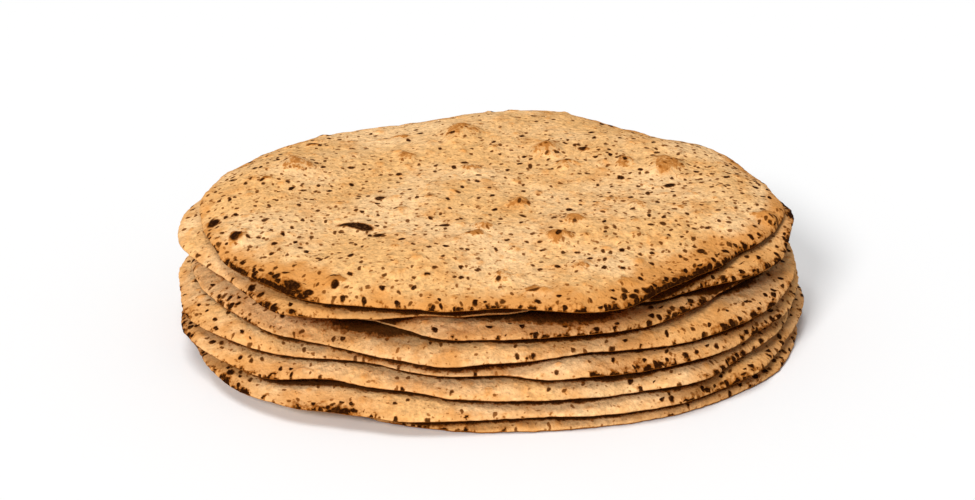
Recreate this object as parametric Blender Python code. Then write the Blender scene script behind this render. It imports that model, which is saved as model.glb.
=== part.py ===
"""A stack of eight thin, slightly oval lavash breads, one solid for each bread.

Metres, +Z up, the stack standing on z = 0 around the origin, its widest way along X.
The side that shows most rims faces -Y. The breads are numbered from the bottom up.
"""
import math

import bpy
import numpy as np

MM = 0.001

# The pile
PITCH = 7.4 * MM          # rise from one bread to the next
GAP = 0.7 * MM            # air left where two breads would touch
BLEND = 1.0 * MM          # rounding where a bread comes to rest on the one below
FADE = 8.0 * MM           # how far beyond its rim a bread still carries the next one

# One bread
THICK_MIDDLE = 5.6 * MM   # thickness away from the rim
THICK_RIM = 2.1 * MM      # thickness at the rim
THIN_WIDTH = 24.0 * MM    # width over which the bread thins towards the rim
RIM_ROUND = 0.9           # how far in, in millimetres, the edge reaches its full thickness
DROOP = 7.0 * MM          # how far the rim hangs below the middle
DROOP_WIDTH = 42.0 * MM   # width of the part that hangs
DROOP_POWER = 2.3         # how late the hanging part bends down
DROOP_END = 1.6           # part of the hanging width after which the surface runs level

# Unevenness
HUMP_HEIGHT = 1.3 * MM    # broad swells of the pile
HUMP_LENGTHS = (62 * MM, 78 * MM, 104 * MM)
SWELL_SEED = 100
SWELL_LOST = 0.6          # share of the swells that is gone at a hanging rim
WOBBLE = 0.5 * MM         # small in and out of the outline
WAVE = 0.7 * MM           # small up and down of the rim
WOBBLE_ORDERS = range(12, 22)

# Each bread from the bottom up, in millimetres: the centre of its oval in plan, half its
# width and half its depth, then bulges of the outline and lifts of the rim, each as
# (direction in degrees from +X by way of +Y, half width in degrees, millimetres).
BREADS = (
    dict(name="lavash_1", seed=11, centre=(9, 9), half=(128, 120),
         bulges=((37, 16, -4), (70, 16, 4), (127, 18, 3), (285, 12, -2), (338, 20, 3)),
         lifts=()),
    dict(name="lavash_2", seed=12, centre=(-1, 9), half=(140, 127),
         bulges=((8, 14, 3), (45, 10, -3), (75, 12, 5), (160, 22, -4), (196, 9, -3),
                 (222, 18, 7), (278, 18, -7), (328, 6, 2), (345, 6, -2)),
         lifts=((2, 16, 4), (235, 14, 1.5))),
    dict(name="lavash_3", seed=13, centre=(-1, 7), half=(136, 120),
         bulges=((38, 16, -4), (76, 14, 6), (158, 18, -5), (206, 17, 9), (226, 6, 4),
                 (252, 22, -8), (259, 5, 3), (301, 6, -5), (313, 14, 6), (323, 5, -3)),
         lifts=((236, 10, 2.0), (196, 14, 1.0))),
    dict(name="lavash_4", seed=14, centre=(-1, 15), half=(140, 121),
         bulges=((30, 16, -6), (60, 10, 4), (150, 14, -4), (205, 13, 8), (241, 13, -10),
                 (268, 12, -4), (275, 5, -3), (287, 5, 3), (302, 5, -4), (309, 20, 6),
                 (342, 5, 3)),
         lifts=((205, 15, 1.5),)),
    dict(name="lavash_5", seed=15, centre=(1, 16), half=(136, 121),
         bulges=((52, 14, -4), (90, 12, 4), (120, 10, -4), (218, 7, 3), (231, 6, -5),
                 (261, 12, 4), (292, 14, -5), (313, 6, 2), (335, 16, 4)),
         lifts=((352, 10, 2.0),)),
    dict(name="lavash_6", seed=16, centre=(7, 18), half=(125, 115),
         bulges=((45, 12, -4), (75, 10, 4), (105, 10, -3), (238, 12, -5), (258, 5, 3),
                 (290, 25, 2), (286, 5, -3), (337, 14, -7), (347, 6, 3)),
         lifts=((325, 22, 2.0),)),
    dict(name="lavash_7", seed=17, centre=(-3, 21), half=(139, 116),
         bulges=((28, 13, -9), (76, 14, 7), (158, 20, -6), (184, 7, 2), (217, 5, -4),
                 (225, 14, 16), (229, 5, 2), (246, 6, 4), (256, 4, -4), (288, 24, -11),
                 (323, 5, -3), (334, 5, 2), (343, 12, 4)),
         lifts=((4, 11, 6), (176, 16, 2))),
    dict(name="lavash_8", seed=18, centre=(-1, 16), half=(129, 122),
         bulges=((2, 10, 3), (32, 6, 2), (53, 8, -2), (82, 12, 10), (98, 6, -3),
                 (115, 20, -6), (216, 17, 6), (236, 6, 3), (259, 5, 4), (260, 14, -4),
                 (273, 6, -4), (290, 5, 3), (298, 10, 4), (327, 14, -7), (328, 5, 3),
                 (340, 5, -3)),
         lifts=((190, 22, 1.5),)),
)

# Blisters that stand up from the top bread: x, y, radius along X, radius along Y, height,
# all in millimetres.
BLISTERS = (
    (-89, 43, 9, 11, 2.2), (-14, 91, 10, 12, 2.6), (-39, 59, 6, 6, 1.4), (-9, 41, 6, 7, 1.6),
    (13, -1, 7, 8, 1.8), (26, 68, 9, 10, 2.4), (34, 48, 7, 9, 2.0), (62, 51, 6, 8, 1.8),
    (80, 48, 10, 13, 2.6), (36, -25, 6, 7, 2.0), (29, -43, 7, 6, 1.6), (65, -6, 6, 7, 1.5),
    (84, -6, 5, 5, 1.1), (37, -69, 5, 5, 1.2), (121, -10, 7, 8, 1.8), (-109, -36, 6, 6, 1.6),
    (-122, -14, 5, 5, 1.2), (-57, -28, 9, 6, 1.2), (-85, -74, 5, 4, 1.2), (-64, -82, 5, 5, 1.3),
    (5, -79, 5, 6, 1.2), (-3, -31, 7, 5, 1.2),
)
BLISTER_POWER = 1.5       # how steep the sides of a blister are

CRUST = (0.72, 0.43, 0.17)
CRUST_ROUGHNESS = 0.85

# Rings of the meshes, as distances in from the rim, with the number of points on each.
LOWER_TOP_RINGS = ((RIM_ROUND, 72), (8, 72), (18, 72), (30, 72), (46, 36), (74, 18))
LOWER_BASE_RINGS = ((RIM_ROUND, 72), (12, 36), (26, 36), (46, 18), (74, 18))
UPPER_TOP_RINGS = ((RIM_ROUND, 128), *((inward, 128) for inward in range(5, 60, 5)),
                   *((inward, 64) for inward in range(61, 91, 6)),
                   *((inward, 32) for inward in range(91, 111, 7)), (112, 16))
UPPER_BASE_RINGS = ((RIM_ROUND, 128), (12, 64), (38, 32), (74, 16))


def bumps(rows, angle):
    """Sum of smooth bumps given as direction and half width in degrees and millimetres."""
    total = np.zeros_like(angle)
    for direction, half_width, amount in rows:
        away = (np.degrees(angle) - direction + 180) % 360 - 180
        total += amount * MM * np.exp(-(away / half_width) ** 2)
    return total


def ripple(seed, angle, amount):
    """Small seeded unevenness round the rim."""
    chance = np.random.default_rng(seed)
    total = np.zeros_like(angle)
    for order in WOBBLE_ORDERS:
        size = chance.normal() * amount / math.sqrt(len(WOBBLE_ORDERS))
        total += size * np.sin(order * angle + chance.uniform(0, math.tau))
    return total


def swells(x, y):
    """Broad seeded humps and hollows that go through the whole pile."""
    chance = np.random.default_rng(SWELL_SEED)
    total = np.zeros_like(x)
    for length in HUMP_LENGTHS:
        for _ in range(2):
            heading = chance.uniform(0, math.tau)
            phase = chance.uniform(0, math.tau)
            along = x * math.cos(heading) + y * math.sin(heading)
            total += np.sin(math.tau * along / length + phase)
    return total * HUMP_HEIGHT / math.sqrt(2 * len(HUMP_LENGTHS))


def rim_radius(bread, angle):
    """Distance from the axis of the pile to the rim of a bread."""
    centre_x, centre_y = bread["centre"]
    half_x, half_y = bread["half"]
    along = np.cos(angle)
    across = np.sin(angle)
    square = (along / half_x) ** 2 + (across / half_y) ** 2
    mixed = centre_x * along / half_x ** 2 + centre_y * across / half_y ** 2
    rest = 1 - (centre_x / half_x) ** 2 - (centre_y / half_y) ** 2
    oval = (mixed + np.sqrt(mixed ** 2 + square * rest)) / square * MM
    return oval + bumps(bread["bulges"], angle) + ripple(bread["seed"], angle, WOBBLE)


def beyond_rim(inward):
    """One up to the rim of a bread, falling to nought over the reach beyond it."""
    return np.clip(1 + inward / FADE, 0, 1)


def thickness(inward):
    """Thickness of a bread at a distance in from its rim, fading out beyond the rim."""
    part = np.clip(inward / THIN_WIDTH, 0, 1)
    rise = part * (2 - part)
    inside = THICK_RIM + (THICK_MIDDLE - THICK_RIM) * rise
    return np.where(inward >= 0, inside, THICK_RIM * beyond_rim(inward))


def higher(first, second):
    """The higher of two surfaces, rounded where they meet."""
    return 0.5 * (first + second + np.sqrt((first - second) ** 2 + BLEND ** 2))


def top_height(number, x, y):
    """Height of the upper face of a bread, without its blisters."""
    bread = BREADS[number]
    angle = np.arctan2(y, x)
    inward = rim_radius(bread, angle) - np.hypot(x, y)
    hanging = np.clip(1 - inward / DROOP_WIDTH, 0, DROOP_END) ** DROOP_POWER
    droop = DROOP - bumps(bread["lifts"], angle) - ripple(bread["seed"] + 50, angle, WAVE)
    swell = swells(x, y)
    if number == 0:
        flat = np.clip(inward / THIN_WIDTH, 0, 1)
        return thickness(inward) + (PITCH - THICK_MIDDLE + swell) * flat
    kept = 1 - SWELL_LOST * np.clip(hanging, 0, 1)
    own = (number + 1) * PITCH + swell * kept - droop * hanging
    carried = top_height(number - 1, x, y) + GAP * beyond_rim(inward) + thickness(inward)
    return higher(own, carried)


def blister_height(x, y):
    """Height that the blisters add to the top bread."""
    total = np.zeros_like(x)
    for centre_x, centre_y, along, across, height in BLISTERS:
        reach = ((x / MM - centre_x) / along) ** 2 + ((y / MM - centre_y) / across) ** 2
        total += height * MM * np.clip(1 - reach, 0, 1) ** BLISTER_POWER
    return total


def ring_points(number, inward, count, upper):
    """Points of one ring of a bread, on its upper or lower face."""
    bread = BREADS[number]
    angle = np.arange(count) * math.tau / count
    reach = rim_radius(bread, angle)
    shrunk = reach * (1 - inward * MM / np.min(reach))
    radius = reach - inward * MM if inward * MM < DROOP_WIDTH else shrunk
    x = radius * np.cos(angle)
    y = radius * np.sin(angle)
    return np.column_stack((x, y, face_height(number, x, y, upper)))


def face_height(number, x, y, upper):
    """Height of the upper or lower face of a bread."""
    bread = BREADS[number]
    inward = rim_radius(bread, np.arctan2(y, x)) - np.hypot(x, y)
    if upper:
        height = top_height(number, x, y)
        return height + blister_height(x, y) if number == len(BREADS) - 1 else height
    if number == 0:
        return np.zeros_like(x)
    return top_height(number, x, y) - thickness(inward)


def edge_points(number, count):
    """Points of the outermost ring, half way up the edge."""
    angle = np.arange(count) * math.tau / count
    radius = rim_radius(BREADS[number], angle)
    x = radius * np.cos(angle)
    y = radius * np.sin(angle)
    height = 0.5 * (face_height(number, x, y, True) + face_height(number, x, y, False))
    return np.column_stack((x, y, height))


def bridge(outer, inner, faces, upward):
    """Join two rings; the inner one has as many points as the outer one or half as many."""
    many = len(outer)
    few = len(inner)
    step = many // few
    for index in range(few):
        following = (index + 1) % few
        first = outer[index * step]
        last = outer[(index * step + step) % many]
        if step == 1:
            rows = [(first, last, inner[following]), (first, inner[following], inner[index])]
        else:
            between = outer[index * step + 1]
            rows = [(first, between, inner[index]),
                    (between, inner[following], inner[index]),
                    (between, last, inner[following])]
        for row in rows:
            faces.append(row if upward else row[::-1])


def close_middle(number, inner, points, faces, upward):
    """Close the innermost ring with a point on the axis."""
    zero = np.zeros(1)
    height = face_height(number, zero, zero, upward)[0]
    points.append((0.0, 0.0, height))
    tip = len(points) - 1
    for index in range(len(inner)):
        row = (inner[index], inner[(index + 1) % len(inner)], tip)
        faces.append(row if upward else row[::-1])


def add_ring(points, rows):
    """Add the points of a ring and give back their numbers."""
    start = len(points)
    points.extend(tuple(row) for row in rows)
    return list(range(start, start + len(rows)))


def bread_mesh(number):
    """Points and triangles of one bread."""
    top_bread = number == len(BREADS) - 1
    top_rings = UPPER_TOP_RINGS if top_bread else LOWER_TOP_RINGS
    base_rings = UPPER_BASE_RINGS if top_bread else LOWER_BASE_RINGS
    points = []
    faces = []
    edge = add_ring(points, edge_points(number, top_rings[0][1]))
    for upward, rings in ((True, top_rings), (False, base_rings)):
        outer = edge
        for inward, count in rings:
            inner = add_ring(points, ring_points(number, inward, count, upward))
            bridge(outer, inner, faces, upward)
            outer = inner
        close_middle(number, outer, points, faces, upward)
    return points, faces


def bread_material(name):
    """Own material of one bread."""
    material = bpy.data.materials.new(name)
    material.use_nodes = True
    shader = material.node_tree.nodes["Principled BSDF"]
    shader.inputs["Base Color"].default_value = (*CRUST, 1.0)
    shader.inputs["Roughness"].default_value = CRUST_ROUGHNESS
    return material


def build_bread(number, points, faces):
    """One bread as an object that stands at its own height in the pile."""
    name = BREADS[number]["name"]
    level = number * PITCH
    mesh = bpy.data.meshes.new(name)
    mesh.from_pydata(points - np.array((0, 0, level)), [], faces)
    mesh.materials.append(bread_material(name + "_crust"))
    piece = bpy.data.objects.new(name, mesh)
    piece.location.z = level
    mesh.shade_smooth()
    bpy.context.scene.collection.objects.link(piece)


def main():
    """Clear the scene, compute the breads and stand them centred on the origin."""
    for old in list(bpy.data.objects):
        bpy.data.objects.remove(old, do_unlink=True)
    breads = [bread_mesh(number) for number in range(len(BREADS))]
    extent = np.concatenate([np.array(points) for points, _ in breads])
    centre = 0.5 * (extent.min(axis=0) + extent.max(axis=0)) * (1, 1, 0)
    for number, (points, faces) in enumerate(breads):
        build_bread(number, np.array(points) - centre, faces)


main()
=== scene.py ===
"""Baked surface, stage and light for a pile of eight thin lavash breads.

Each bread starts from its own solid in the frame, is subdivided and roughened by a
Geometry Nodes tree, and gets a crust whose flecks, blisters and scorched rims are
worked out from the place on the bread. Shade is painted into the crust too: in the nooks
under the breads above, behind some rims, below the rims and on the far edges of blisters.
Lengths in the tables below are millimetres, and places are measured from the axis of the pile.
"""

import math

import bmesh
import bpy
import numpy as np
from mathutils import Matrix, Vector
from mathutils.bvhtree import BVHTree


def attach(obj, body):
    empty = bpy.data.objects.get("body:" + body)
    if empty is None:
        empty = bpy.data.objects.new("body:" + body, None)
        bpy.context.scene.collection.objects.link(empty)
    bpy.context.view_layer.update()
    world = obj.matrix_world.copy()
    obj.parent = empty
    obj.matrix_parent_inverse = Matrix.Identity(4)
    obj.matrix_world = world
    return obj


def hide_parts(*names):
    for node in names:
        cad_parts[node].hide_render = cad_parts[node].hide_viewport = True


bl_info = {
    "name": "Lavash Pile",
    "version": (1, 0, 0),
    "blender": (4, 5, 0),
    "location": "View3D > Sidebar > Lavash",
    "description": "Baked surface, stage and light for a pile of thin lavash breads",
    "category": "Object",
}

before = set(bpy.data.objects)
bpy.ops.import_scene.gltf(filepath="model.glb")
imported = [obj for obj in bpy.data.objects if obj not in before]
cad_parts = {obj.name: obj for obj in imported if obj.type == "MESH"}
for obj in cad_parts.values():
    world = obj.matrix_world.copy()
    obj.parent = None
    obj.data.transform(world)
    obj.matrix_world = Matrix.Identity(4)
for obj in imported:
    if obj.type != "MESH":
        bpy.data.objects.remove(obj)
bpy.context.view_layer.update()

MM = 0.001
BREADS = tuple("lavash_%d" % number for number in range(1, 9))      # from the bottom up
LOWER_COLUMNS, LOWER_LEVELS = 72, 3     # faces round a lower solid, and how often they are split
TOP_COLUMNS, TOP_LEVELS = 128, 2        # the same for the top bread
PILE_AXIS = (-0.53, -15.84)       # where the axis of the pile stands, in millimetres
WELD = 1e-6                       # metres between points that become one
JOIN_ANGLE, JOIN_SHAPE = 25, 60   # degrees between triangles that become one face

# Relief of the breads, in millimetres.
REST_GAP = 0.7                    # air between two breads that rest on each other
FREE_CLIMB = 2.5                  # this much more air, and the relief is as high as on top
WAVE_WIDTH, CURL_WIDTH, RAG_WIDTH = 16.0, 15.0, 9.0   # how far in from the rim each reaches
RELIEF_STEP = 91.7                # how far the random relief moves from bread to bread
WAVE_STEP = (5.3, 3.1, -7.7)      # from one wave of the relief to the next, in wave widths
BUBBLE_SPACING = 13.0             # from one small bubble's place to the next
BUBBLE_SHARE = 0.55               # share of those places that hold one
SMALLEST_BUBBLE, LARGEST_BUBBLE = 2.0, 5.0            # radius
BLISTER_LIFT = 1.35               # how many times the height in its row a blister stands
BLISTER_SKIRT = 2                 # how far round a blister the faces are split too
SHADE_ARC_REACH, SHADE_ARC_WIDTH = 0.66, 0.17       # of the painted shade on a blister's far edge, in its radii

# Shade between the breads, in millimetres unless it says otherwise.
OPEN_ROOM = 12.0                  # room above a surface that nothing covers
NOOK_REACH = 40.0                 # how far in from a rim the shaded nooks are looked for
NOOK_START = 0.2                  # how far above the crust the light is looked for
NOOK_RAYS = (26, 32, 38, 44)      # slopes in degrees of the light that is looked for
NOOK_FEATHER = 5                  # rounds of softening at the border of a nook
DUSK_FEATHER = 90                 # the same for the soft shade in front of it
DUSK_RISE = 12                    # how far in from the rim a dusky stretch is fully dusky
NOOK_SPREAD = 13                  # degrees more for each millimetre that the rim above curls up

# Random fields and bands of the crust, in millimetres.
BROAD, MIDDLE, SMALL, CREASE, FINE = 48, 12, 3.8, 2.9, 1.25     # patches down to grain
FLECK_CROWD = 70                  # from one crowd of flecks to the next
SMALL_FLECK_SPACING = 4.5
BLOT_SPACING = 4.4
SPECK = 2.1
HALO_WIDTH, SINGE_WIDTH, CHAR_WIDTH = 15, 7, 3.4      # along the scorched rims
FIELD_STEP = (37.1, -21.7, 11.3)  # how far one seed moves a random field
SPOTS_STEP = (53.9, 17.3, 0)      # how far one seed moves scattered spots

# Numbers of the crust that have no unit.
SEED_STEP = 3.0                   # seeds from one bread to the next
ROLLED = 0.76                     # width of the pattern for its length along Y
SLIM = 1.45                       # how many times longer than wide a fleck is
TOP_FLECKED, LOWER_FLECKED = 1.0, 0.3   # how full of flecks the middle of a bread is
MOST_SCORCH = 1.3                 # of a rim where scorched stretches meet

# Stage, in metres unless it says otherwise.
IMAGE_WIDTH = 975                 # pixels
IMAGE_SHIFT = (-3.5, 18.0)        # to the side and up, in the same pixels
AIM_HEIGHT = 28                   # millimetres above the floor
FLOOR_REACH = 4.0                 # from the middle of the floor to each side
FLOOR_DROP = 0.0003               # how far the floor lies below the pile
FLOOR_ROUGHNESS = 0.9
LAMP_DISTANCE = 3.0
NEAREST_SEEN = 0.05               # from the camera

# Scorched stretches of each rim: direction and half width in degrees, strength.
SCORCHED_RIMS = {
    "lavash_1": ((252, 12, 0.7), (330, 25, 0.5), (75, 18, 0.7), (160, 14, 0.5)),
    "lavash_2": ((193, 12, 1.0), (216, 7, 0.9), (237, 10, 1.0), (322, 18, 0.8), (357, 9, 0.5),
                 (60, 22, 0.6), (120, 14, 0.7)),
    "lavash_3": ((192, 11, 1.0), (222, 7, 0.6), (326, 16, 0.7), (95, 16, 0.8), (40, 9, 0.6)),
    "lavash_4": ((199, 11, 0.6), (304, 13, 0.9), (335, 12, 0.7), (140, 18, 0.7), (70, 11, 0.5)),
    "lavash_5": ((208, 10, 0.5), (330, 20, 0.9), (20, 12, 0.6), (110, 18, 0.8)),
    "lavash_6": ((290, 20, 0.6), (322, 12, 0.8), (344, 12, 0.9), (80, 20, 0.7), (150, 12, 0.6)),
    "lavash_7": ((8, 11, 1.3), (337, 16, 1.0), (312, 12, 0.8), (221, 12, 0.9), (255, 8, 0.4),
                 (55, 13, 0.6), (130, 16, 0.8)),
    "lavash_8": ((210, 12, 0.8), (224, 7, 1.3), (258, 16, 0.6), (286, 14, 0.6), (312, 17, 1.3),
                 (338, 14, 0.8), (1, 9, 0.6), (105, 9, 0.5), (58, 12, 0.7), (28, 9, 0.5),
                 (150, 8, 0.4)),
}

# Stretches where a rim curls up off the bread below: direction and half width in degrees,
# height.
LIFTED_RIMS = {
    "lavash_1": (),
    "lavash_2": ((240, 8, 0.3), (288, 6, 0.4), (326, 10, 0.3), (60, 20, 0.7), (150, 18, 0.8)),
    "lavash_3": ((238, 14, 1.4), (283, 8, 0.3), (326, 10, 0.6), (20, 16, 0.9), (110, 16, 1.0)),
    "lavash_4": ((235, 9, 0.4), (299, 8, 1.0), (314, 8, 0.4), (75, 20, 1.0), (160, 12, 0.8)),
    "lavash_5": ((218, 8, 0.4), (297, 6, 0.3), (322, 6, 0.4), (338, 10, 0.6), (30, 14, 0.8),
                 (125, 18, 0.9)),
    "lavash_6": ((288, 14, 0.6), (340, 10, 1.0), (90, 18, 0.9), (170, 16, 0.8)),
    "lavash_7": ((240, 12, 1.8), (272, 12, 0.4), (333, 15, 2.0), (65, 14, 0.8), (140, 16, 1.0)),
    "lavash_8": ((238, 8, 0.3), (270, 14, 1.0), (318, 20, 1.3), (80, 16, 0.6), (160, 12, 0.5)),
}

# Stretches that lie in soft shade behind their rims: direction and half width in degrees,
# strength.
DUSKY_RIMS = {"lavash_6": ((335, 13, 0.8),), "lavash_5": ((335, 14, 0.4), (248, 13, 0.9)),
              "lavash_4": ((335, 12, 0.3),)}

# Stretches where the painted shade of a bread's nook reaches further in, or less far, than the
# curl above makes it: direction and half width in degrees, millimetres of curl more.
NOOK_CHANGES = {"lavash_6": ((252, 12, -2.2),), "lavash_5": ((247, 12, 1.5), (224, 9, -0.9))}

# Blisters of the top bread, from the axis of the pile: x, y, radius along X and Y, height,
# how brown the cap is, which also sets how strong the painted shade on its far edge is.
BLISTERS = (
    (-89, 43, 9, 11, 1.3, 0.8), (-14, 91, 10, 12, 1.5, 0.7), (-39, 59, 5, 6, 1.0, 0.9),
    (-9, 41, 6, 7, 1.1, 0.8), (-3, -31, 6, 5, 1.1, 0.8), (-6, -40, 6, 4, 0.8, 0.7),
    (13, -1, 6, 7, 1.3, 0.8), (26, 68, 9, 10, 1.5, 0.8), (34, 48, 6, 8, 1.2, 0.7),
    (62, 51, 5, 8, 1.3, 1.0), (80, 48, 9, 12, 1.6, 0.9), (71, 26, 4, 5, 0.6, 0.5),
    (36, -25, 5, 7, 1.4, 1.1), (29, -43, 7, 6, 1.2, 0.9), (65, -6, 6, 6, 1.0, 0.7),
    (53, 4, 4, 5, 0.7, 0.6), (84, -6, 4, 5, 0.6, 0.5), (37, -69, 5, 5, 0.9, 0.6),
    (5, -79, 5, 6, 0.9, 0.7), (18, -91, 6, 4, 0.7, 0.9), (56, -82, 5, 4, 0.7, 0.9),
    (121, -10, 7, 8, 1.3, 0.9), (6, 98, 4, 5, 0.6, 0.5), (1, 69, 4, 5, 0.6, 0.5),
    (43, 69, 4, 3, 0.8, 1.0), (-84, 82, 4, 3, 0.8, 1.2), (-43, 93, 5, 3, 0.8, 1.1),
    (-101, 26, 4, 3, 0.8, 0.9), (-64, -82, 5, 4, 1.0, 1.2), (-85, -74, 5, 3, 0.7, 1.0),
    (-122, -14, 4, 4, 0.5, 0.9), (-109, -36, 5, 6, 0.6, 0.9), (-57, -25, 10, 7, 0.5, 0.4),
)

# Burnt marks on the top bread: x, y, half length, half width, turn in degrees, strength.
BURNT_MARKS = (
    (-58, -27, 8.2, 2.7, -22, 1.0), (-48, -37, 2.2, 2.0, -20, 1.0),
    (-121, -14, 2.5, 4.0, 0, 1.0), (-109, -36, 2.5, 3.6, 0, 1.0),
    (-65, -79, 1.4, 1.1, 0, 1.0), (-64, -85, 1.5, 1.9, 0, 1.0), (-85, -73, 1.6, 1.1, 0, 0.85),
    (-42, 37, 1.4, 2.6, 0, 1.0), (-49, 4, 2.2, 2.4, -25, 0.95), (-20, -28, 2.5, 1.7, 0, 0.9),
    (-64, 45, 1.7, 1.6, 0, 0.85), (-80, 46, 1.0, 1.6, 0, 0.8), (-98, -22, 1.2, 1.6, 0, 0.85),
    (-38, -44, 1.8, 1.2, 20, 0.95), (-17, 45, 1.2, 2.4, 0, 0.9), (-12, 49, 1.8, 1.4, 20, 0.9),
    (-43, 95, 3.2, 0.9, 8, 0.8), (-34, 96, 1.4, 1.2, 0, 0.9), (-84, 82, 3.2, 1.4, 20, 0.85),
    (43, 69, 1.8, 3.0, -20, 0.9), (59, 33, 1.4, 2.4, 20, 0.9), (80, 23, 2.2, 3.2, -40, 0.95),
    (70, 13, 1.1, 3.0, 0, 0.85), (87, 53, 1.3, 2.2, 0, 0.85), (74, -27, 1.3, 1.7, 0, 0.8),
    (89, -49, 1.7, 1.9, 0, 0.95), (14, -17, 1.1, 2.2, 30, 0.8), (18, 47, 0.9, 3.6, 0, 0.8),
    (-82, -80, 4.2, 2.6, -36, 1.0), (-89, -74, 1.8, 1.5, 0, 1.0), (-75, -86, 2.2, 1.6, -20, 1.0),
    (58, -92, 1.8, 1.6, 0, 1.0), (65, -87, 2.6, 1.7, 30, 1.0), (73, -81, 2.4, 1.8, 40, 1.0),
    (81, -73, 2.2, 1.9, 45, 1.0), (89, -64, 2.2, 1.8, 50, 1.0), (96, -58, 1.8, 1.8, 0, 1.0),
    (3, -82, 1.1, 2.2, 0, 0.85), (17, -92, 2.6, 1.0, 8, 0.8), (75, 59, 1.4, 1.6, 0, 0.8),
)


class Value:
    """A socket of a node tree, on which arithmetic adds Math nodes."""

    def __init__(self, wires, socket):
        self.wires = wires
        self.socket = socket

    def at(self, output):
        """Another output of the same node."""
        return Value(self.wires, self.socket.node.outputs[output])

    def math(self, operation, first, second):
        """Arithmetic on two numbers."""
        return self.wires.node("ShaderNodeMath", {"operation": operation}, {0: first, 1: second})

    def __add__(self, other):
        return self.math("ADD", self, other)

    def __radd__(self, other):
        return self.math("ADD", other, self)

    def __sub__(self, other):
        return self.math("SUBTRACT", self, other)

    def __rsub__(self, other):
        return self.math("SUBTRACT", other, self)

    def __mul__(self, other):
        return self.math("MULTIPLY", self, other)

    def __rmul__(self, other):
        return self.math("MULTIPLY", other, self)

    def __truediv__(self, other):
        return self.math("DIVIDE", self, other)

    def __rtruediv__(self, other):
        return self.math("DIVIDE", other, self)

    def __pow__(self, other):
        return self.math("POWER", self, other)

    def most(self, other):
        """The larger of this and another number."""
        return self.math("MAXIMUM", self, other)

    def least(self, other):
        """The smaller of this and another number."""
        return self.math("MINIMUM", self, other)

    def below(self, other):
        """One where this is less than the other number, else nought."""
        return self.math("LESS_THAN", self, other)

    def rise(self, low, high):
        """Smooth rise from nought at low to one at high."""
        return self.wires.node("ShaderNodeMapRange", {"interpolation_type": "SMOOTHSTEP"},
                               {"Value": self, "From Min": low, "From Max": high})


class Wires:
    """Adds nodes to a shader tree or a geometry tree."""

    def __init__(self, tree):
        self.tree = tree

    def feed(self, socket, value):
        """Link a socket, or set its value."""
        if isinstance(value, Value):
            self.tree.links.new(value.socket, socket)
        elif socket.type == "RGBA" and len(value) == 3:
            socket.default_value = (*value, 1.0)
        else:
            socket.default_value = value

    def node(self, kind, settings, sockets, output=0):
        """One node: its settings come first, then the values or links of its sockets."""
        made = self.tree.nodes.new(kind)
        for name, value in settings.items():
            setattr(made, name, value)
        for name, value in sockets.items():
            self.feed(made.inputs[name], value)
        return Value(self, made.outputs[output])

    def vector(self, operation, first, second=(0, 0, 0)):
        """Vector arithmetic; a length comes out as a number."""
        output = 1 if operation == "LENGTH" else 0
        return self.node("ShaderNodeVectorMath", {"operation": operation},
                         {0: first, 1: second}, output)

    def scaled(self, vector, factor):
        """A vector or colour times a number."""
        return self.node("ShaderNodeVectorMath", {"operation": "SCALE"},
                         {0: vector, "Scale": factor})

    def mix(self, factor, first, second):
        """From one colour to another."""
        return self.node("ShaderNodeMix", {"data_type": "RGBA"},
                         {0: factor, 6: first, 7: second}, 2)

    def noise(self, place, size, seed, detail=3.0):
        """Soft random field from nought to one, with features of a size in millimetres."""
        moved = self.vector("ADD", place, [seed * step for step in FIELD_STEP])
        return self.node("ShaderNodeTexNoise", {},
                         {"Vector": moved, "Scale": 1 / size, "Detail": detail, "Roughness": 0.55})

    def spots(self, place, spacing, seed, half_length, keep, ragged):
        """Scattered oval spots, at most one in each cell, turned and sized at random.

        half_length holds the smallest and the largest half length; keep is the share of
        the cells that have a spot. Gives the mask and a random number for each spot.
        """
        moved = self.vector("ADD", place, [seed * step for step in SPOTS_STEP])
        cell = self.node("ShaderNodeTexVoronoi", {"voronoi_dimensions": "2D"},
                         {"Vector": moved, "Scale": 1 / spacing, "Randomness": 0.9}, "Position")
        chance = self.node("ShaderNodeSeparateXYZ", {}, {0: cell.at("Color")})
        away = self.vector("MULTIPLY", self.vector("SUBTRACT", moved, cell), (1, 1, 0))
        turned = self.node("ShaderNodeVectorRotate", {"rotation_type": "Z_AXIS"},
                           {"Vector": away, "Angle": chance.at("Z") * math.tau})
        slimmed = self.vector("MULTIPLY", turned, (1.0, SLIM, 0))
        smallest, largest = half_length
        reach = self.vector("LENGTH", slimmed) / (smallest + chance.at("Y") * (largest - smallest))
        mask = 1 - (reach + ragged * 0.7).rise(0.65, 1.45)
        return mask * chance.below(keep), chance.at("Y")

    def mark(self, place, at, half, turn, ragged):
        """Mask of one oval mark."""
        put = self.node("ShaderNodeMapping", {"vector_type": "TEXTURE"},
                        {"Vector": place, "Location": (*at, 0),
                         "Rotation": (0, 0, math.radians(turn)), "Scale": (*half, 1e6)})
        return 1 - (self.vector("LENGTH", put) + ragged * 1.3).rise(0.65, 1.40)

    def scorch(self, colour, mask, brown, burnt, depth):
        """Brown towards the edge of a mask, burnt in its middle; it paints burns and also the
        painted shade of the nooks.
        """
        colour = self.mix(mask.rise(0.0, 0.55) * 0.85, colour, brown)
        return self.mix(mask.rise(0.40, 0.95) * depth, colour, burnt)


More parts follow.
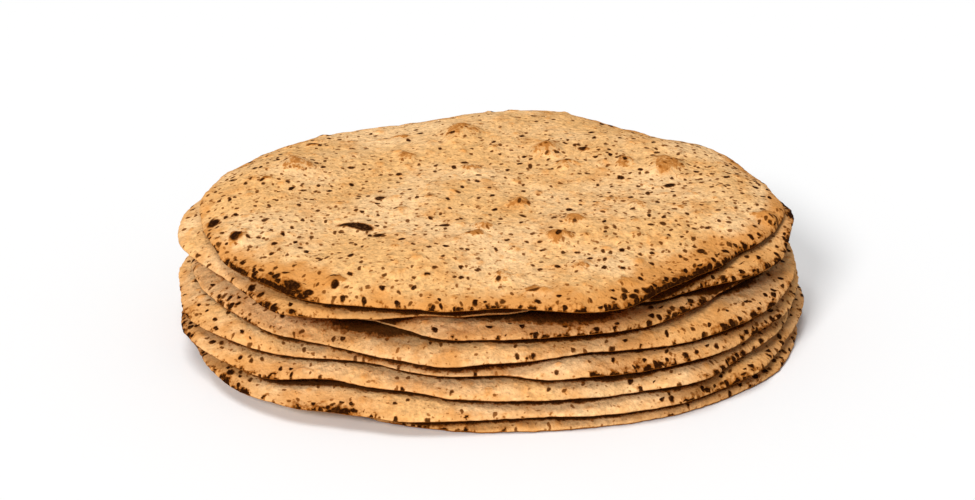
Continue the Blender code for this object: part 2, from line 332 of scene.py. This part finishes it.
class LavashCrustSettings(bpy.types.PropertyGroup):
    """Colours and sizes of the baked crust."""

    pale: bpy.props.FloatVectorProperty(
        name="Pale", description="Floury parts of the crust", subtype="COLOR",
        default=(0.84, 0.530, 0.258), min=0, max=1)
    gold: bpy.props.FloatVectorProperty(
        name="Gold", description="Main colour of the crust", subtype="COLOR",
        default=(0.77, 0.430, 0.165), min=0, max=1)
    toasted: bpy.props.FloatVectorProperty(
        name="Toasted", description="Toasted patches", subtype="COLOR",
        default=(0.62, 0.262, 0.064), min=0, max=1)
    # Brown also paints shade: the lip below the rim, the far edges of blisters and the border of
    # each nook.
    brown: bpy.props.FloatVectorProperty(
        name="Brown", description="Caps of blisters and browned rims", subtype="COLOR",
        default=(0.27, 0.078, 0.007), min=0, max=1)
    # Burnt also paints the near black shade in the nooks between the breads.
    burnt: bpy.props.FloatVectorProperty(
        name="Burnt", description="Flecks and burnt marks", subtype="COLOR",
        default=(0.012, 0.0024, 0.0006), min=0, max=1)
    fleck_spacing: bpy.props.FloatProperty(
        name="Fleck spacing", description="Mean distance between dark flecks",
        default=6.6 * MM, unit="LENGTH")
    wrinkle_height: bpy.props.FloatProperty(
        name="Wrinkle height", description="How far the crust rises and falls",
        default=0.55 * MM, unit="LENGTH")
    wrinkle_size: bpy.props.FloatProperty(
        name="Wrinkle size", description="Width of the wrinkles", default=19 * MM, unit="LENGTH")
    rim_rag: bpy.props.FloatProperty(
        name="Rim rag", description="In and out of the raw rim", default=0.7 * MM, unit="LENGTH")
    rim_wave: bpy.props.FloatProperty(
        name="Rim wave", description="Up and down of the raw rim", default=0.4 * MM,
        unit="LENGTH")
    bubble_height: bpy.props.FloatProperty(
        name="Bubble height", description="Height of the small scattered bubbles",
        default=0.8 * MM, unit="LENGTH")
    roughness: bpy.props.FloatProperty(
        name="Roughness", description="Roughness of the crust", default=0.86, min=0, max=1)


class LavashStageSettings(bpy.types.PropertyGroup):
    """Camera, floor and light."""

    distance: bpy.props.FloatProperty(
        name="Camera distance", description="From the camera to the pile", default=1.087,
        unit="LENGTH")
    elevation: bpy.props.FloatProperty(
        name="Camera elevation", description="Angle above the horizon",
        default=math.radians(22.5), subtype="ANGLE")
    lens: bpy.props.FloatProperty(
        name="Lens", description="Focal length in millimetres", default=90.0, min=10)
    floor: bpy.props.FloatVectorProperty(
        name="Floor", description="Colour of the floor", subtype="COLOR",
        default=(0.90, 0.90, 0.90), min=0, max=1)
    key: bpy.props.FloatProperty(
        name="Key light", description="Strength of the light from the front", default=2.3)
    key_width: bpy.props.FloatProperty(
        name="Key width", description="How wide the light looks from the pile",
        default=math.radians(15), subtype="ANGLE")
    key_elevation: bpy.props.FloatProperty(
        name="Key elevation", description="Angle of the light above the horizon",
        default=math.radians(31), subtype="ANGLE")
    key_direction: bpy.props.FloatProperty(
        name="Key direction", description="Where the light stands, from +X by way of +Y",
        default=math.radians(-114), subtype="ANGLE")
    overhead: bpy.props.FloatProperty(
        name="Overhead light", description="Strength of the wide light from above", default=1.5)
    overhead_width: bpy.props.FloatProperty(
        name="Overhead width", description="How wide the light from above looks from the pile",
        default=math.radians(30), subtype="ANGLE")
    overhead_elevation: bpy.props.FloatProperty(
        name="Overhead elevation", description="Angle of the light from above",
        default=math.radians(72), subtype="ANGLE")
    sky: bpy.props.FloatProperty(
        name="Sky", description="Brightness of the even light all round", default=0.30)


def relief_tree():
    """Geometry Nodes tree that subdivides a bread and roughens its upper face and rim."""
    tree = bpy.data.node_groups.new("Lavash Relief", "GeometryNodeTree")
    sockets = (
        ("Geometry", "NodeSocketGeometry"), ("Levels", "NodeSocketInt"),
        ("Seed", "NodeSocketFloat"), ("Wrinkle Height", "NodeSocketFloat"),
        ("Wrinkle Size", "NodeSocketFloat"), ("Rim Rag", "NodeSocketFloat"),
        ("Rim Wave", "NodeSocketFloat"), ("Bubble Height", "NodeSocketFloat"),
        ("Bubble Share", "NodeSocketFloat"), ("Crust", "NodeSocketMaterial"),
    )
    for name, kind in sockets:
        tree.interface.new_socket(name, in_out="INPUT", socket_type=kind)
    tree.interface.new_socket("Geometry", in_out="OUTPUT", socket_type="NodeSocketGeometry")
    wires = Wires(tree)
    given = wires.node("NodeGroupInput", {}, {})
    smooth = wires.node("GeometryNodeSubdivisionSurface", {},
                        {"Mesh": given, "Level": given.at("Levels")})
    rim = read_field(wires, "rim_mm")
    upper = read_field(wires, "upper")
    room = read_field(wires, "room_mm")
    place = wires.scaled(wires.node("GeometryNodeInputPosition", {}, {}), 1 / MM)
    shift = given.at("Seed") * RELIEF_STEP
    offset = wires.node("ShaderNodeCombineXYZ", {}, {0: shift, 1: shift * 0.6, 2: shift * -0.3})
    field = wires.vector("ADD", place, offset)
    size = given.at("Wrinkle Size")

    def wave(factor, seed):
        """Random field from minus one to one, as wide as a part of the wrinkle size."""
        base = wires.scaled(field, 1 / (size * factor))
        moved = wires.vector("ADD", base, [seed * step for step in WAVE_STEP])
        noise = wires.node("ShaderNodeTexNoise", {},
                           {"Vector": moved, "Scale": 1.0, "Detail": 2.0})
        return (noise - 0.5) * 2

    wrinkles = wave(1.0, 1) + wave(0.34, 2) * 0.5 + wave(0.2, 7) * 0.22
    wrinkles = wrinkles * given.at("Wrinkle Height") * 1.6
    bubbles = bubble_field(wires, field, given.at("Bubble Share"))
    free = ((room - REST_GAP) / FREE_CLIMB).most(0).least(1)
    kept = wires.node("GeometryNodeStoreNamedAttribute",
                      {"data_type": "FLOAT", "domain": "POINT"},
                      {"Geometry": smooth, "Name": "bubble", "Value": bubbles * free * upper})
    lift = (wrinkles + bubbles * given.at("Bubble Height")) * free * upper
    edge = 1 - rim.rise(0.0, WAVE_WIDTH)
    lift = lift + wave(0.85, 3) * given.at("Rim Wave") * edge * (free * 0.6 + 0.4)
    curl = read_field(wires, "curl_mm")
    lift = lift + curl * (0.75 + wave(1.2, 6) * 0.5) * (1 - rim.rise(0.0, CURL_WIDTH))
    brink = 1 - rim.rise(0.0, RAG_WIDTH)
    push = (wave(0.5, 4) + wave(0.16, 5) * 0.9) * given.at("Rim Rag") * brink
    out = wires.vector("SUBTRACT", place, (*PILE_AXIS, 0))
    out = wires.vector("NORMALIZE", wires.vector("MULTIPLY", out, (1, 1, 0)))
    up = wires.node("ShaderNodeCombineXYZ", {}, {2: lift})
    move = wires.vector("ADD", wires.scaled(out, push), up)
    moved = wires.node("GeometryNodeSetPosition", {},
                       {"Geometry": kept, "Offset": wires.scaled(move, MM)})
    shaded = wires.node("GeometryNodeSetShadeSmooth", {}, {"Geometry": moved})
    whole = wires.node("GeometryNodeRealizeInstances", {}, {"Geometry": shaded})
    done = wires.node("GeometryNodeSetMaterial", {},
                      {"Geometry": whole, "Material": given.at("Crust")})
    end = tree.nodes.new("NodeGroupOutput")
    tree.links.new(done.socket, end.inputs["Geometry"])
    return tree


def read_field(wires, name):
    """A number that was stored on the points of a bread."""
    return wires.node("GeometryNodeInputNamedAttribute", {"data_type": "FLOAT"}, {"Name": name})


def bubble_field(wires, field, share):
    """Small domes, each in its own cell."""
    cell = wires.node("ShaderNodeTexVoronoi", {"voronoi_dimensions": "2D"},
                      {"Vector": field, "Scale": 1 / BUBBLE_SPACING, "Randomness": 0.9},
                      "Position")
    chance = wires.node("ShaderNodeSeparateXYZ", {}, {0: cell.at("Color")})
    away = wires.vector("MULTIPLY", wires.vector("SUBTRACT", field, cell), (1, 1, 0))
    radius = SMALLEST_BUBBLE + chance.at("Y") * (LARGEST_BUBBLE - SMALLEST_BUBBLE)
    reach = wires.vector("LENGTH", away) / radius
    return (1 - reach * reach).most(0) ** 1.4 * chance.below(share)


class CrustPainter:
    """Lays the colour of one bread's crust, coat by coat."""

    def __init__(self, wires, crust, seed, flecked):
        self.wires, self.crust = wires, crust
        self.seed, self.flecked = seed, flecked
        here = wires.node("ShaderNodeTexCoord", {}, {}, "Object")
        self.place = wires.vector("SUBTRACT", wires.scaled(here, 1 / MM), (*PILE_AXIS, 0))
        self.rim, self.toast, self.scorch, self.bubble, self.nook, self.dusk, self.arc = [
            wires.node("ShaderNodeAttribute", {"attribute_name": wanted}, {}, "Fac")
            for wanted in ("rim_mm", "toast", "scorch", "bubble", "nook", "dusk", "arc")]
        facing = wires.node("ShaderNodeNewGeometry", {}, {}, "Normal")
        self.up = wires.node("ShaderNodeSeparateXYZ", {}, {0: facing}, "Z")
        self.drawn = wires.vector("MULTIPLY", self.place, (1.0, ROLLED, 1.0))
        self.broad = wires.noise(self.place, BROAD, seed)
        self.middle = wires.noise(self.drawn, MIDDLE, seed + 1)
        self.small = wires.noise(self.drawn, SMALL, seed + 2)
        self.fine = wires.noise(self.drawn, FINE, seed + 3, 2.0)
        self.crease = wires.noise(self.place, CREASE, seed + 8, 2.0)
        self.ragged = self.small - 0.5
        self.torn = self.ragged + (self.fine - 0.5) * 0.7

    def ground(self):
        """Gold and floury patches with toasted clouds, and the grain over them."""
        wires, crust, small = self.wires, self.crust, self.small
        colour = wires.mix(self.broad.rise(0.38, 0.64), crust.gold, crust.pale)
        colour = wires.mix(self.middle.rise(0.50, 0.72) * 0.5, colour, crust.toasted)
        colour = wires.mix(small.rise(0.55, 0.72) * 0.5, colour, crust.toasted)
        puffed = self.bubble.rise(0.15, 0.9) * small.rise(0.3, 0.62) * 0.75
        colour = wires.mix(puffed, colour, crust.toasted)
        grain = (self.fine - 0.5) * 0.75 + (self.crease - 0.5) * 0.8 + self.ragged * 0.6
        return wires.scaled(colour, grain + 1)

    def caps(self, colour):
        """Brown caps of the blisters, with painted shade along their far edges."""
        wires, crust, toast, torn, arc = self.wires, self.crust, self.toast, self.torn, self.arc
        cap = (toast * 1.3 + torn * 2.4 + (self.middle - 0.5) * 1.2 - 0.20).rise(0.0, 1.0)
        self.cap = cap * toast.rise(0.02, 0.3)
        colour = wires.mix(self.cap.rise(0.0, 1.0) * 0.95, colour, crust.toasted)
        colour = wires.mix((self.cap + torn * 0.6).rise(0.35, 1.25) * 0.60, colour, crust.brown)
        # Painted shade along the far edge of each blister.
        return wires.mix((arc + torn * 0.9).rise(0.12, 0.85) * 0.90 * arc.rise(0.05, 0.3),
                         colour, crust.brown)

    def rims(self, colour):
        """Toasted and singed bands along the rim, widest on its scorched stretches."""
        wires, crust, scorch, rim = self.wires, self.crust, self.scorch, self.rim
        halo = (scorch * 0.9 - rim / HALO_WIDTH + (self.middle - 0.5) * 1.8 + 0.5).rise(0.0, 0.8)
        colour = wires.mix(halo * (0.45 + 0.45 * self.flecked), colour, crust.toasted)
        singed = (scorch * 0.85 - rim / SINGE_WIDTH + self.torn * 1.8
                  + (self.middle - 0.5) * 0.9)
        return wires.mix(singed.rise(0.20, 0.8) * 0.85, colour, crust.brown)

    def burns(self, colour, marks):
        """Charred rim, blots, flecks and marks, as one mask, so that no edge shows inside."""
        wires, crust, seed, ragged = self.wires, self.crust, self.seed, self.ragged
        char = (self.scorch * 0.8 - self.rim / CHAR_WIDTH + ragged * 3.4
                + (self.middle - 0.5) * 0.9)
        char = char.rise(0.35, 0.8)
        crowd = wires.noise(self.place, FLECK_CROWD, seed + 4)
        across = wires.node("ShaderNodeSeparateXYZ", {}, {0: self.place})
        flanks = across.rise(30, 115) * 0.30 + (0 - across).rise(15, 115) * 0.30
        keep = (0.21 + crowd.rise(0.35, 0.65) * 0.28) * self.flecked + flanks
        warp = wires.node("ShaderNodeCombineXYZ", {},
                          {0: ragged * 2.4, 1: (self.crease - 0.5) * 2.4})
        bent = wires.vector("ADD", self.drawn, warp)
        self.dark, depth = wires.spots(bent, crust.fleck_spacing / MM, seed, (0.6, 1.5), keep,
                                       ragged)
        more, deep = wires.spots(bent, SMALL_FLECK_SPACING, seed + 6, (0.5, 1.2), keep * 1.25,
                                 ragged)
        speck = wires.noise(self.place, SPECK, seed + 5, 1.0)
        speck = speck.rise(0.66 - 0.05 * self.flecked, 0.74)
        near = 1 - self.rim.rise(0.5, 11.0)
        blot, _ = wires.spots(bent, BLOT_SPACING, seed + 7, (0.9, 1.7), self.scorch * near, ragged)
        colour = wires.mix(speck * 0.8, colour, crust.brown)
        burn = char.most(blot).most(self.dark * (0.52 + depth * 0.48))
        burn = burn.most(more * (0.28 + deep * 0.55))
        for x, y, length, width, turn, strength in marks:
            mark = wires.mark(self.place, (x, y), (length, width), turn, ragged)
            burn = (mark * strength).most(burn)
        return wires.scorch(colour, burn, crust.brown, crust.burnt,
                            0.97 - self.fine.rise(0.50, 0.64) * 0.14)

    def shades(self, colour):
        """Brown lip below the rim, partly toasted and partly painted shade; painted soft shade;
        and the dark nook under the bread above, painted as shade.
        """
        wires, crust = self.wires, self.crust
        # Partly a toasted edge and partly painted shade: brown on the downward face near the rim.
        lip = (self.torn * 0.9 - 0.1 - self.up).rise(0.0, 0.35) * (1 - self.rim.rise(2.5, 6.0))
        colour = wires.mix(lip * 0.9, colour, crust.brown)
        # Painted shade in the nook under the bread above: brown at its border, near black inside.
        shade = (self.nook + self.torn * 0.9).rise(0.20, 0.85) * self.nook.rise(0.0, 0.25)
        # Painted soft shade: the dusk darkens the colour.
        colour = wires.scaled(colour, 1 - (self.dusk + self.ragged * 0.2).rise(0.0, 0.8) * 0.46)
        return wires.scorch(colour, shade, crust.brown, crust.burnt, 0.78)

    def height(self):
        """Low relief of the crust, for the bump."""
        return (self.middle * 0.5 + self.small * 1.2 + self.crease * 0.95 + self.fine * 0.25
                + self.dark * 0.12)


def crust_material(name, seed, crust, flecked, marks):
    """Procedural crust of one bread; flecked is how full of dark flecks its middle is."""
    material = bpy.data.materials.new(name)
    material.use_nodes = True
    material.node_tree.nodes.clear()
    wires = Wires(material.node_tree)
    painter = CrustPainter(wires, crust, seed, flecked)
    colour = painter.rims(painter.caps(painter.ground()))
    colour = painter.shades(painter.burns(colour, marks))
    bump = wires.node("ShaderNodeBump", {},
                      {"Strength": 0.9, "Distance": MM, "Height": painter.height()})
    shader = wires.node("ShaderNodeBsdfPrincipled", {},
                        {"Base Color": colour, "Normal": bump,
                         "Roughness": crust.roughness - painter.cap * 0.14 - painter.dark * 0.10,
                         "Specular IOR Level": 0.01})
    end = material.node_tree.nodes.new("ShaderNodeOutputMaterial")
    material.node_tree.links.new(shader.socket, end.inputs["Surface"])
    return material


def bread_start(name, ceiling, columns):
    """Merged copy of a bread's solid with its rim distance, side and room above."""
    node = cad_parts[name]
    mesh = bpy.data.meshes.new(name + "_crust")
    work = bmesh.new()
    work.from_mesh(node.data)
    bmesh.ops.remove_doubles(work, verts=work.verts, dist=WELD)
    bmesh.ops.join_triangles(work, faces=work.faces,
                             angle_face_threshold=math.radians(JOIN_ANGLE),
                             angle_shape_threshold=math.radians(JOIN_SHAPE))
    work.to_mesh(mesh)
    work.free()
    points = points_of(mesh)
    reach, angle = about_axis(points)
    rim = rim_reach(reach, angle, columns)
    store(mesh, "rim_mm", np.clip(rim(angle) - reach, 0, None))
    normals = np.empty(len(points) * 3)
    mesh.vertices.foreach_get("normal", normals)
    upper = normals.reshape(-1, 3)[:, 2] > 0
    store(mesh, "upper", upper.astype(float))
    store(mesh, "room_mm", room_above(points, upper, ceiling))
    store(mesh, "curl_mm", around_rim(LIFTED_RIMS[name], angle))
    return mesh


def points_of(mesh):
    """Points of a mesh in metres."""
    points = np.empty(len(mesh.vertices) * 3)
    mesh.vertices.foreach_get("co", points)
    return points.reshape(-1, 3)


def about_axis(points):
    """Distance in millimetres and direction of points seen from the axis of the pile."""
    away = points[:, :2] / MM - PILE_AXIS
    return np.hypot(away[:, 0], away[:, 1]), np.arctan2(away[:, 1], away[:, 0])


def rim_reach(reach, angle, slots):
    """Distance to the rim as a function of the direction."""
    slot = np.round(angle / math.tau * slots).astype(int) % slots
    furthest = np.array([reach[slot == index].max() for index in range(slots)])
    centres = np.arange(slots + 1) * math.tau / slots
    around = np.append(furthest, furthest[0])
    return lambda direction: np.interp(direction % math.tau, centres, around)


def shade_nooks(mesh, lids, curls, dusky):
    """Note how far the breads above keep shallow light from outside off each point."""
    points = points_of(mesh)
    rim, upper = np.empty(len(points)), np.empty(len(points))
    mesh.attributes["rim_mm"].data.foreach_get("value", rim)
    mesh.attributes["upper"].data.foreach_get("value", upper)
    _, angle = about_axis(points)
    nook = np.zeros(len(points))
    spread = np.radians(NOOK_SPREAD * around_rim(curls, angle))
    if lids:
        for index in np.nonzero((rim < NOOK_REACH) & (upper > 0.3))[0]:
            start = Vector(points[index]) + Vector((0, 0, NOOK_START * MM))
            for slope in NOOK_RAYS:
                climb = math.tan(math.radians(slope) + spread[index])
                ray = Vector((math.cos(angle[index]), math.sin(angle[index]), climb))
                if any(lid.ray_cast(start, ray, NOOK_REACH * MM)[3] for lid in lids):
                    nook[index] += 1 / len(NOOK_RAYS)
    store(mesh, "nook", np.maximum(nook, feathered(mesh, nook, NOOK_FEATHER)))
    dusk = around_rim(dusky, angle) * np.clip(rim / DUSK_RISE, 0, 1) * upper
    store(mesh, "dusk", np.maximum(dusk, feathered(mesh, nook, DUSK_FEATHER)))


def feathered(mesh, values, rounds):
    """Let one number on each point of a mesh run out softly into the points round it."""
    ends = np.empty(len(mesh.edges) * 2, dtype=np.int32)
    mesh.edges.foreach_get("vertices", ends)
    joined = np.maximum(np.bincount(ends, minlength=len(values)), 1)
    near, far = ends.reshape(-1, 2).T
    for _ in range(rounds):
        total = np.bincount(near, values[far], len(values))
        total += np.bincount(far, values[near], len(values))
        values = (values + total / joined) / 2
    return values


def room_above(points, upper, ceiling):
    """Millimetres of air above each point of the upper face, up to the next bread."""
    room = np.full(len(points), OPEN_ROOM)
    if ceiling is None:
        return room
    for index in np.nonzero(upper)[0]:
        hit = ceiling.ray_cast(Vector(points[index]), Vector((0, 0, 1)), OPEN_ROOM * MM)
        if hit[3] is not None:
            room[index] = hit[3] / MM
    return room


def store(mesh, name, values):
    """Put one number on each point of a mesh."""
    layer = mesh.attributes.new(name, "FLOAT", "POINT")
    layer.data.foreach_set("value", np.asarray(values, dtype=np.float32))


def around_rim(rows, angle):
    """Sum of smooth bumps along a rim, given as direction, half width and height."""
    total = np.zeros_like(angle)
    for direction, half_width, height in rows:
        away = (np.degrees(angle) - direction + 180) % 360 - 180
        total += height * np.exp(-(away / half_width) ** 2)
    return total


def refine_blisters(mesh, blisters):
    """Split the faces round the named blisters, so that their edges come out crisp."""
    work = bmesh.new()
    work.from_mesh(mesh)
    chosen = set()
    for face in work.faces:
        if face.normal.z > 0:
            middle = face.calc_center_median()
            east, north = middle.x / MM - PILE_AXIS[0], middle.y / MM - PILE_AXIS[1]
            if any(math.hypot((east - x) / (along + BLISTER_SKIRT),
                              (north - y) / (across + BLISTER_SKIRT)) < 1
                   for x, y, along, across, *_ in blisters):
                chosen.update(face.edges)
    bmesh.ops.subdivide_edges(work, edges=list(chosen), cuts=1, use_grid_fill=True)
    work.to_mesh(mesh)
    work.free()


def raise_blisters(mesh, blisters):
    """Lift blisters, and note how brown their caps are and how much shade is painted on their far
    edges.
    """
    if blisters:
        refine_blisters(mesh, blisters)
    points = points_of(mesh)
    upper = np.empty(len(points))
    mesh.attributes["upper"].data.foreach_get("value", upper)
    place = points[:, :2] / MM - PILE_AXIS
    toast = np.zeros(len(points))
    arc = np.zeros(len(points))
    for x, y, along, across, height, brown in blisters:
        east = (place[:, 0] - x) / along
        north = (place[:, 1] - y) / across
        around = np.arctan2(north, east)
        uneven = 0.13 * np.sin(3 * around + x) + 0.09 * np.sin(5 * around + y)
        reach = np.hypot(east, north) * (1 + uneven)
        dome = np.clip(1 - reach ** 2, 0, 1) * upper
        points[:, 2] += height * BLISTER_LIFT * MM * dome ** 1.2
        toast = np.maximum(toast, brown * dome ** 0.7)
        # Painted shade on the far side of each blister, away from the key light.
        shade_crescent = np.exp(-((reach - SHADE_ARC_REACH) / SHADE_ARC_WIDTH) ** 2)
        shade_crescent = shade_crescent * np.clip(north + 0.1, 0, 1) * upper
        arc = np.maximum(arc, brown * shade_crescent)
    mesh.vertices.foreach_set("co", points.ravel())
    store(mesh, "toast", toast)
    store(mesh, "arc", arc)


def bake_relief(context, name, number, start, material, levels):
    """Mesh of a bread once the relief tree has subdivided and roughened it."""
    crust = context.scene.lavash_crust
    blank = bpy.data.objects.new(name + "_blank", start)
    context.scene.collection.objects.link(blank)
    relief = blank.modifiers.new("Relief", "NODES")
    relief.node_group = bpy.data.node_groups.get("Lavash Relief") or relief_tree()
    wanted = {
        "Levels": levels, "Seed": float(number), "Wrinkle Height": crust.wrinkle_height / MM,
        "Wrinkle Size": crust.wrinkle_size / MM, "Rim Rag": crust.rim_rag / MM,
        "Rim Wave": crust.rim_wave / MM, "Bubble Height": crust.bubble_height / MM,
        "Bubble Share": BUBBLE_SHARE, "Crust": material,
    }
    for item in relief.node_group.interface.items_tree:
        if item.in_out == "INPUT" and item.name in wanted:
            relief[item.identifier] = wanted[item.name]
    context.view_layer.update()
    depsgraph = context.evaluated_depsgraph_get()
    mesh = bpy.data.meshes.new_from_object(blank.evaluated_get(depsgraph))
    mesh.name = name + "_baked"
    bpy.data.objects.remove(blank, do_unlink=True)
    return mesh


def make_bread(context, number, columns, levels, blisters, marks):
    """Build one bread, counted from the bottom, and let it stand for its solid.

    The breads above it have to be there already.
    """
    name = BREADS[number - 1]
    lids = [BVHTree.FromObject(bpy.data.objects[above + "_baked"],
                               context.evaluated_depsgraph_get())
            for above in BREADS[number:number + 2]]
    start = bread_start(name, lids[0] if lids else None, columns)
    material = crust_material(name + "_crust", number * SEED_STEP, context.scene.lavash_crust,
                              TOP_FLECKED if marks else LOWER_FLECKED, marks)
    mesh = bake_relief(context, name, number, start, material, levels)
    raise_blisters(mesh, blisters)
    points = points_of(mesh)
    points[:, 2] = np.clip(points[:, 2], 0, None)
    mesh.vertices.foreach_set("co", points.ravel())
    curls = LIFTED_RIMS[BREADS[number]] if lids else ()
    shade_nooks(mesh, lids, curls + NOOK_CHANGES.get(name, ()), DUSKY_RIMS.get(name, ()))
    _, angle = about_axis(points)
    store(mesh, "scorch", np.clip(around_rim(SCORCHED_RIMS[name], angle), 0, MOST_SCORCH))
    bread = bpy.data.objects.new(name + "_baked", mesh)
    context.scene.collection.objects.link(bread)
    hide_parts(name)
    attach(bread, "root")


class LAVASH_OT_top_bread(bpy.types.Operator):
    """Make the top bread with its blisters and burnt marks"""

    bl_idname = "lavash.top_bread"
    bl_label = "Make top bread"

    def execute(self, context):
        make_bread(context, len(BREADS), TOP_COLUMNS, TOP_LEVELS, BLISTERS, BURNT_MARKS)
        return {"FINISHED"}


class LAVASH_OT_lower_breads(bpy.types.Operator):
    """Make the breads below the top one, which has to be there already"""

    bl_idname = "lavash.lower_breads"
    bl_label = "Make lower breads"

    def execute(self, context):
        for number in range(len(BREADS) - 1, 0, -1):
            make_bread(context, number, LOWER_COLUMNS, LOWER_LEVELS, (), ())
        return {"FINISHED"}


class LAVASH_OT_stage(bpy.types.Operator):
    """Make the floor, the lights and the camera"""

    bl_idname = "lavash.stage"
    bl_label = "Set stage"

    def execute(self, context):
        stage = context.scene.lavash_stage
        context.scene.view_settings.view_transform = "Standard"
        make_floor(context, stage)
        make_lights(context, stage)
        make_camera(context, stage)
        return {"FINISHED"}


def make_floor(context, stage):
    """Plain pale floor under the pile."""
    mesh = bpy.data.meshes.new("floor")
    work = bmesh.new()
    bmesh.ops.create_grid(work, x_segments=1, y_segments=1, size=FLOOR_REACH)
    bmesh.ops.translate(work, verts=work.verts, vec=(0, 0, -FLOOR_DROP))
    work.to_mesh(mesh)
    work.free()
    floor = bpy.data.objects.new("floor", mesh)
    material = bpy.data.materials.new("floor_pale")
    material.use_nodes = True
    shader = material.node_tree.nodes["Principled BSDF"]
    shader.inputs["Base Color"].default_value = (*stage.floor, 1.0)
    shader.inputs["Roughness"].default_value = FLOOR_ROUGHNESS
    mesh.materials.append(material)
    context.scene.collection.objects.link(floor)


def make_lights(context, stage):
    """Even sky, a low light from the front left and a wide one from above."""
    world = bpy.data.worlds.new("studio")
    world.use_nodes = True
    world.node_tree.nodes["Background"].inputs["Color"].default_value = (1, 1, 1, 1)
    world.node_tree.nodes["Background"].inputs["Strength"].default_value = stage.sky
    context.scene.world = world
    make_lamp(context, "key", stage.key, stage.key_width, stage.key_elevation,
              stage.key_direction)
    make_lamp(context, "overhead", stage.overhead, stage.overhead_width,
              stage.overhead_elevation, stage.key_direction)


def make_lamp(context, name, strength, width, elevation, direction):
    """One light that stands far off, as wide as the angle given."""
    data = bpy.data.lights.new(name, "SUN")
    data.energy = strength
    data.angle = width
    lamp = bpy.data.objects.new(name, data)
    level = math.cos(elevation)
    towards = Vector((level * math.cos(direction), level * math.sin(direction),
                      math.sin(elevation)))
    lamp.location = towards * LAMP_DISTANCE
    lamp.rotation_mode = "QUATERNION"
    lamp.rotation_quaternion = (-towards).to_track_quat("-Z", "Y")
    context.scene.collection.objects.link(lamp)


def make_camera(context, stage):
    """Camera at the angle of the photograph."""
    data = bpy.data.cameras.new("camera")
    data.lens = stage.lens
    data.clip_start = NEAREST_SEEN
    data.shift_x, data.shift_y = [shift / IMAGE_WIDTH for shift in IMAGE_SHIFT]
    camera = bpy.data.objects.new("camera", data)
    back = Vector((0, -math.cos(stage.elevation), math.sin(stage.elevation)))
    aim = Vector((PILE_AXIS[0] * MM, PILE_AXIS[1] * MM, AIM_HEIGHT * MM))
    camera.location = aim + back * stage.distance
    camera.rotation_mode = "QUATERNION"
    camera.rotation_quaternion = (-back).to_track_quat("-Z", "Y")
    context.scene.collection.objects.link(camera)
    context.scene.camera = camera


class LAVASH_PT_pile(bpy.types.Panel):
    """Settings and steps of the lavash pile"""

    bl_label = "Lavash Pile"
    bl_space_type = "VIEW_3D"
    bl_region_type = "UI"
    bl_category = "Lavash"

    def draw(self, context):
        layout = self.layout
        for settings in (context.scene.lavash_crust, context.scene.lavash_stage):
            box = layout.box()
            for name in settings.__annotations__:
                box.prop(settings, name)
        layout.operator("lavash.top_bread")
        layout.operator("lavash.lower_breads")
        layout.operator("lavash.stage")


CLASSES = (
    LavashCrustSettings, LavashStageSettings, LAVASH_OT_top_bread, LAVASH_OT_lower_breads,
    LAVASH_OT_stage, LAVASH_PT_pile,
)


def register():
    for cls in CLASSES:
        bpy.utils.register_class(cls)
    bpy.types.Scene.lavash_crust = bpy.props.PointerProperty(type=LavashCrustSettings)
    bpy.types.Scene.lavash_stage = bpy.props.PointerProperty(type=LavashStageSettings)


def unregister():
    del bpy.types.Scene.lavash_stage
    del bpy.types.Scene.lavash_crust
    for cls in reversed(CLASSES):
        bpy.utils.unregister_class(cls)


def main():
    register()
    bpy.ops.lavash.top_bread()
    bpy.ops.lavash.lower_breads()
    bpy.ops.lavash.stage()


if __name__ == "__main__":
    main()
